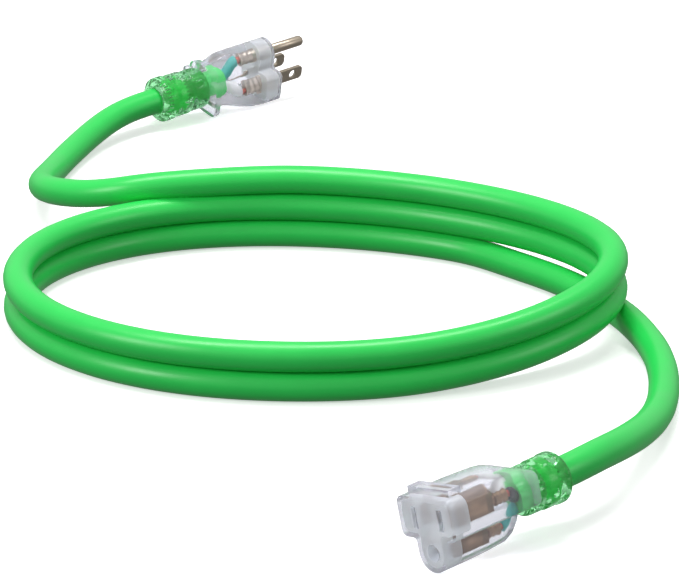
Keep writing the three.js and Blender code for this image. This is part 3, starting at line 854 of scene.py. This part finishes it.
class EXTCORD_OT_connector_moulding(bpy.types.Operator):
    """Mould the connector's clear body and its slotted face insert"""

    bl_idname = "extcord.connector_moulding"
    bl_label = "Connector moulding"

    def execute(self, context):
        finishes = context.scene.extcord_finishes
        clear = clear_vinyl("Clear PVC, hazy moulding", finishes.clear,
                            transmission=0.72, roughness=0.19, ior=1.22, shadow=0.8)
        frosted = frosted_vinyl(finishes)
        ridge_from, ridge_to, ridge_proud = -2.5, -9, 2.5
        bm = bmesh.new()
        loft(bm, body_corners(), [
            (0, *FULL_SECTION), (ridge_from, *FULL_SECTION),
            (ridge_to, *FULL_SECTION), (-20, 13.4, -11.7, 2.8, 6.7, 14.3),
            (-29, 13.2, -11.4, 2.8, 6.5, 13.7), (-32, 13.1, -11.3, 2.8, 6.3, 12.2),
            (-34.2, 13, -11.1, 2.8, 5.9, 9.4), (-35.4, 13, -10.9, 2.8, 5.5, 6.4),
            (-36.2, 12.9, -10.8, 2.8, 5.2, 3.6), (-40.4, 12.7, -9.3, 2.8, 5, 3.2),
            (CONNECTOR_BODY_REAR, 12.2, -8.9, 2.4, 5, 2.8),
        ])
        foot = Vector(((ridge_from + ridge_to) / 2, 0, BLOCK_FLOOR))
        ridge = min(bm.faces, key=lambda f: (f.calc_center_median() - foot).length)
        bmesh.ops.inset_individual(bm, faces=[ridge], thickness=0.4, depth=0.0, use_even_offset=True)
        extruded(bm, [ridge, *ridge.edges], (0, 0, -ridge_proud))
        mating = max(bm.faces, key=lambda f: f.calc_center_median().x)
        _, rims = pierced(bm, mating)
        walls = bmesh.ops.extrude_edge_only(bm, edges=rims)["geom"]
        bmesh.ops.translate(bm, vec=(-SLOT_DEPTH, 0, 0), verts=made_of(bmesh.types.BMVert, walls))
        bmesh.ops.holes_fill(bm, edges=made_of(bmesh.types.BMEdge, walls), sides=0)
        add_piece("connector_clear_body", bm, CONNECTOR_FRAME, clear, ["connector_body"],
                  bevel=0.35)
        bm = bmesh.new()
        insert_front, insert_depth, clearance = -0.5, 8, 0.15
        outline = outline_face(bm, body_corners(inset=1.6), insert_front)
        plate, _ = pierced(bm, outline, grow=clearance)
        extruded(bm, plate, (-insert_depth, 0, 0), keep=True)
        add_piece("connector_slotted_insert", bm, CONNECTOR_FRAME, frosted,
                  ["connector_face_insert"], bevel=0.3)
        return {"FINISHED"}


class EXTCORD_OT_contacts(bpy.types.Operator):
    """Fold the connector's three contacts, each with its crimped sleeve"""

    bl_idname = "extcord.contacts"
    bl_label = "Connector contacts"

    def execute(self, context):
        finishes = context.scene.extcord_finishes
        brass = plated_metal("Brass strip, rolled", finishes.brass,
                             roughness=0.32, grain=0.12, turn=CONNECTOR_TURN)
        strip_rear, strip_front, crimp = -22, -5, (-28.5, -23)
        neck_rear, neck_front = crimp[1] - 0.5, strip_rear + 0.4
        for pole, lane in CONNECTOR_LANES.items():
            y, z = lane["terminal"]
            gap, width = (5.0, 5.2) if pole == "ground" else (2.0, 6.4)
            bm = bmesh.new()
            folded_contact(bm, strip_rear, strip_front, gap, width, y, z)
            spun(bm, [(neck_rear, 0), (neck_rear, CRIMP_BORE), (neck_front, CRIMP_BORE), (neck_front, 0)],
                 y, z, steps=20)
            crimped_sleeve(bm, *crimp, y, z)
            add_piece(f"connector_{pole}_folded_contact", bm, CONNECTOR_FRAME, brass,
                      [f"connector_{pole}_contact"])
        return {"FINISHED"}


class EXTCORD_OT_declare(bpy.types.Operator):
    """Does nothing; the other steps attach each piece to the root body"""

    bl_idname = "extcord.declare"
    bl_label = "Declare the cord"

    def execute(self, context):
        return {"FINISHED"}


class EXTCORD_PT_panel(bpy.types.Panel):
    """Lists the steps that make the extension cord"""

    bl_idname = "EXTCORD_PT_panel"
    bl_label = "Extension Cord"
    bl_space_type = "VIEW_3D"
    bl_region_type = "UI"
    bl_category = "Extension Cord"

    def draw(self, context):
        for step in STEPS:
            self.layout.operator(step.bl_idname)
        for group_name in GROUPS:
            group = getattr(context.scene, group_name)
            for name in group.__annotations__:
                self.layout.prop(group, name)


STEPS = [
    EXTCORD_OT_stage, EXTCORD_OT_cord, EXTCORD_OT_plug_moulding, EXTCORD_OT_reliefs, EXTCORD_OT_blades,
    EXTCORD_OT_conductors, EXTCORD_OT_connector_moulding, EXTCORD_OT_contacts, EXTCORD_OT_declare,
]
GROUPS = {"extcord_cord": CordSizes, "extcord_contacts": ContactSizes, "extcord_finishes": Finishes}


def register():
    for name, group in GROUPS.items():
        bpy.utils.register_class(group)
        setattr(bpy.types.Scene, name, PointerProperty(type=group))
    for step in STEPS:
        bpy.utils.register_class(step)
    bpy.utils.register_class(EXTCORD_PT_panel)


def unregister():
    bpy.utils.unregister_class(EXTCORD_PT_panel)
    for step in reversed(STEPS):
        bpy.utils.unregister_class(step)
    for name, group in GROUPS.items():
        delattr(bpy.types.Scene, name)
        bpy.utils.unregister_class(group)


def main():
    register()
    for step in STEPS:
        family, name = step.bl_idname.split(".")
        getattr(getattr(bpy.ops, family), name)()


if __name__ == "__main__":
    main()
